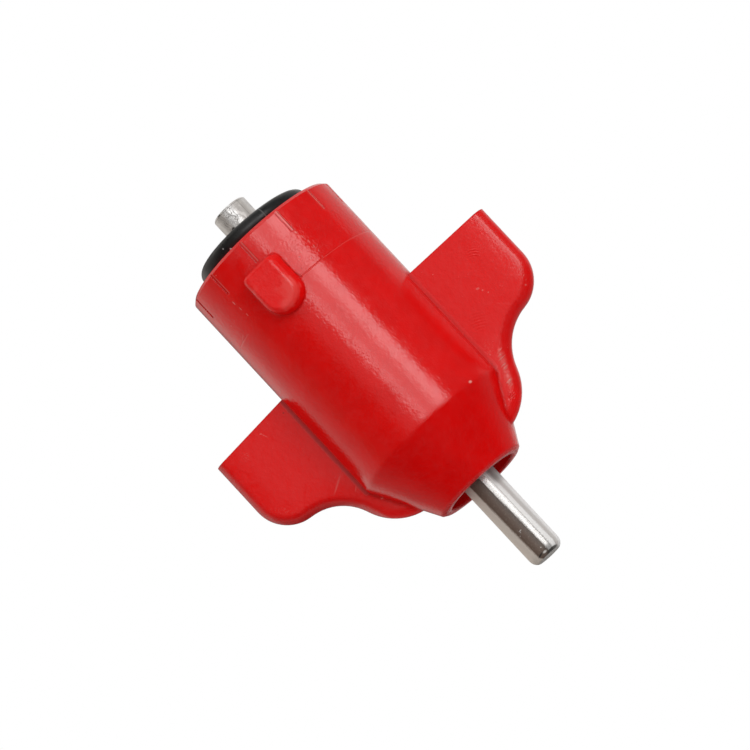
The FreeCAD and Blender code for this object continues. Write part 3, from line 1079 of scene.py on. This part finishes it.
class VALVE_OT_pins(bpy.types.Operator):
    """Turns the closing pin and the trigger pin with their rounded ends"""

    bl_idname = "valve.pins"
    bl_label = "Make the pins"

    def execute(self, context):
        look = context.scene.valve_steel
        sizes = context.scene.valve_pins
        scuffed = make_pin_steel(
            "scuffed_steel", look, CLOSING_PAINTED_REFLECTION_BANDS, CLOSING_NICKS, CLOSING_DARK_SPOTS_AND_REFLECTIONS, scuffs=1.0, painted_line_at=50.0
        )
        polished = make_pin_steel(
            "polished_steel", look, TRIGGER_PAINTED_REFLECTION_BANDS, TRIGGER_NICKS, TRIGGER_DARK_SPOTS_AND_REFLECTIONS, twist=0.8
        )
        closing = turned_piece("closing_pin_turned", closing_profile(sizes), sizes.steps_round, scuffed)
        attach(closing, "closer")
        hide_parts("closing_pin")
        trigger = turned_piece("trigger_pin_turned", trigger_profile(sizes), sizes.steps_round, polished)
        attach(trigger, "trigger")
        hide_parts("trigger_pin")
        return {"FINISHED"}


class VALVE_OT_stage(bpy.types.Operator):
    """Sets up the floor, the room, the lamps and the camera"""

    bl_idname = "valve.stage"
    bl_label = "Set up the stage"

    AZIMUTH = math.radians(10.5)
    ELEVATION = math.radians(-9.3)
    ROLL = math.radians(42.903)
    AIM = Vector((-0.00053, 0.0, -0.017692))

    # what the surfaces mirror round them: azimuth from the camera, level and tint
    ROOM = (
        (-180, 0.15, "grey"),
        (-168, 0.17, "grey"),
        (-150, 0.6, "beige"),
        (-136, 0.8, "beige"),
        (-119, 0.6, "beige"),
        (-105, 0.44, "beige"),
        (-94, 0.33, "beige"),
        (-83, 0.23, "brown"),
        (-73, 0.12, "brown"),
        (-64, 0.06, "brown"),
        (-40, 0.05, "brown"),
        (-30, 0.12, "brown"),
        (-23, 0.36, "grey"),
        (-8, 0.45, "grey"),
        (4, 0.4, "grey"),
        (44, 0.3, "grey"),
        (54, 0.1, "grey"),
        (94, 0.1, "grey"),
        (105, 0.16, "grey"),
        (119, 0.5, "grey"),
        (136, 0.5, "grey"),
        (168, 0.8, "grey"),
        (179, 0.7, "grey"),
    )
    ROOM_TINTS = {"grey": (1.0, 0.97, 0.94), "beige": (1.0, 0.93, 0.87), "brown": (1.0, 0.72, 0.55)}

    # soft lamps: azimuth from the camera, distance, width, level and whether surfaces mirror them
    LAMPS = {
        "panel": (21.0, 0.6, 0.46, 0.75, True),
        "panel_left": (2.0, 0.58, 0.06, 1.3, True),
        "panel_right": (33.0, 0.58, 0.15, 1.35, True),
        "fill": (66.0, 0.58, 0.3, 0.85, False),
    }
    LAMP_ELEVATION = math.radians(9.3)
    LAMP_HEIGHT = 0.3
    FLOOR_REACH = 1.5

    def execute(self, context):
        stage = context.scene.valve_stage
        self.add_camera(context, stage)
        self.add_floor(stage)
        self.add_room(context, stage)
        self.add_lamps(stage)
        context.scene.view_settings.view_transform = "Standard"
        return {"FINISHED"}

    def direction(self, azimuth, elevation):
        """From the valve towards a place round it, azimuth counted from -Y towards +X."""
        return Vector(
            (
                math.cos(elevation) * math.sin(azimuth),
                -math.cos(elevation) * math.cos(azimuth),
                math.sin(elevation),
            )
        )

    def add_camera(self, context, stage):
        """The photo's camera: far off with a long lens, below the valve and rolled."""
        away = self.direction(self.AZIMUTH, self.ELEVATION)
        lens = bpy.data.cameras.new("photo_camera")
        lens.lens = 288.0
        lens.sensor_width = 36.0
        lens.clip_start = 0.01
        lens.clip_end = 50.0
        camera = add_object("photo_camera", lens)
        up = (Vector((0, 0, 1)) - away * away.z).normalized()
        right = up.cross(away)
        turned_right = right * math.cos(self.ROLL) - up * math.sin(self.ROLL)
        turned_up = right * math.sin(self.ROLL) + up * math.cos(self.ROLL)
        place = self.AIM + away * stage.camera_distance
        turned = Matrix((turned_right, turned_up, away)).transposed().to_4x4()
        camera.matrix_world = Matrix.Translation(place) @ turned
        context.scene.camera = camera

    def add_floor(self, stage):
        """A pale card that the camera sees as nearly white."""
        mesh = bpy.data.meshes.new("floor")
        reach = self.FLOOR_REACH
        sides = ((-reach, -reach), (reach, -reach), (reach, reach), (-reach, reach))
        mesh.from_pydata([(x, y, -stage.floor_depth) for x, y in sides], [], [(0, 1, 2, 3)])
        floor = add_object("floor", mesh)
        floor.visible_glossy = False
        material = bpy.data.materials.new("floor")
        nodes = Nodes(material)
        seen = nodes.add("ShaderNodeLightPath", out="Is Camera Ray")
        card = nodes.add("ShaderNodeBsdfDiffuse", None, {"Color": colour((0.62, 0.62, 0.62))})
        glow = nodes.add("ShaderNodeEmission", None, {"Color": WHITE, "Strength": 1.0})
        mixed = nodes.add("ShaderNodeMixShader", None, {"Fac": seen * 0.85, 1: card, 2: glow})
        nodes.add("ShaderNodeOutputMaterial", None, {"Surface": mixed})
        mesh.materials.append(material)

    def add_room(self, context, stage):
        """A white room for the camera, an even light, and the mirrored room for reflections."""
        world = bpy.data.worlds.new("room")
        context.scene.world = world
        nodes = Nodes(world)
        toward = nodes.add("ShaderNodeTexCoord", out="Generated")
        x, y, z = nodes.parts(toward)
        turn = nodes.turn_round_z(x, y) - math.degrees(self.AZIMUTH)
        stops = [
            (azimuth / 360 + 0.5, [level * part for part in self.ROOM_TINTS[tint]])
            for azimuth, level, tint in self.ROOM
        ]
        place = (turn / 360.0 + 0.5).fraction()
        walls = nodes.add("ShaderNodeValToRGB", {"stops": stops}, {"Fac": place})
        least = abs(turn).step(75.0, 105.0) * 0.3 + 0.06
        below = least + z.step(-0.3, -0.12) * (1.0 - least)
        mirrored = nodes.add("ShaderNodeVectorMath", {"operation": "SCALE"}, {0: walls, "Scale": below})
        seen = nodes.add("ShaderNodeLightPath", out="Is Camera Ray")
        glossy = Signal(nodes, seen.socket.node.outputs["Is Glossy Ray"])
        light = nodes.blend(glossy, colour((stage.sky_level,) * 3), mirrored)
        shown = nodes.blend(seen, light, WHITE)
        background = nodes.add("ShaderNodeBackground", None, {"Color": shown, "Strength": 1.0})
        nodes.add("ShaderNodeOutputWorld", None, {"Surface": background})

    def add_lamps(self, stage):
        """The soft panel to the right of the camera, brighter along its two sides, and a fill."""
        for name, (azimuth, distance, width, level, mirrored) in self.LAMPS.items():
            away = self.direction(self.AZIMUTH + math.radians(azimuth), self.LAMP_ELEVATION)
            lamp = bpy.data.lights.new(name, "AREA")
            lamp.shape = "RECTANGLE"
            lamp.size = width
            lamp.size_y = self.LAMP_HEIGHT
            lamp.energy = math.pi * lamp.size * lamp.size_y * stage.panel_level * level
            holder = add_object(name, lamp)
            holder.location = self.AIM + away * distance
            holder.rotation_mode = "QUATERNION"
            holder.rotation_quaternion = away.to_track_quat("Z", "Y")
            holder.visible_glossy = mirrored


class VALVE_PT_panel(bpy.types.Panel):
    bl_label = "Drinker valve"
    bl_idname = "VALVE_PT_panel"
    bl_space_type = "VIEW_3D"
    bl_region_type = "UI"
    bl_category = "Valve"

    def draw(self, context):
        for owner, operator in PANEL_ROWS:
            box = self.layout.box()
            for name in GROUPS[owner].__annotations__:
                box.prop(getattr(context.scene, owner), name)
            box.operator(operator)


GROUPS = {
    "valve_plastic": ValvePlasticLook,
    "valve_steel": ValveSteelLook,
    "valve_ring": ValveRingSizes,
    "valve_pins": ValvePinSizes,
    "valve_stage": ValveStage,
}
PANEL_ROWS = (
    ("valve_plastic", "valve.housing"),
    ("valve_ring", "valve.sealing_ring"),
    ("valve_steel", "valve.steel_insides"),
    ("valve_pins", "valve.pins"),
    ("valve_stage", "valve.stage"),
)
CLASSES = (
    *GROUPS.values(),
    VALVE_OT_housing,
    VALVE_OT_sealing_ring,
    VALVE_OT_steel_insides,
    VALVE_OT_pins,
    VALVE_OT_stage,
    VALVE_PT_panel,
)


def register():
    for cls in CLASSES:
        bpy.utils.register_class(cls)
    for name, group in GROUPS.items():
        setattr(bpy.types.Scene, name, PointerProperty(type=group))


def unregister():
    for name in GROUPS:
        delattr(bpy.types.Scene, name)
    for cls in reversed(CLASSES):
        bpy.utils.unregister_class(cls)


def main():
    register()
    bpy.ops.valve.stage()
    bpy.ops.valve.housing()
    bpy.ops.valve.sealing_ring()
    bpy.ops.valve.steel_insides()
    bpy.ops.valve.pins()


if __name__ == "__main__":
    main()
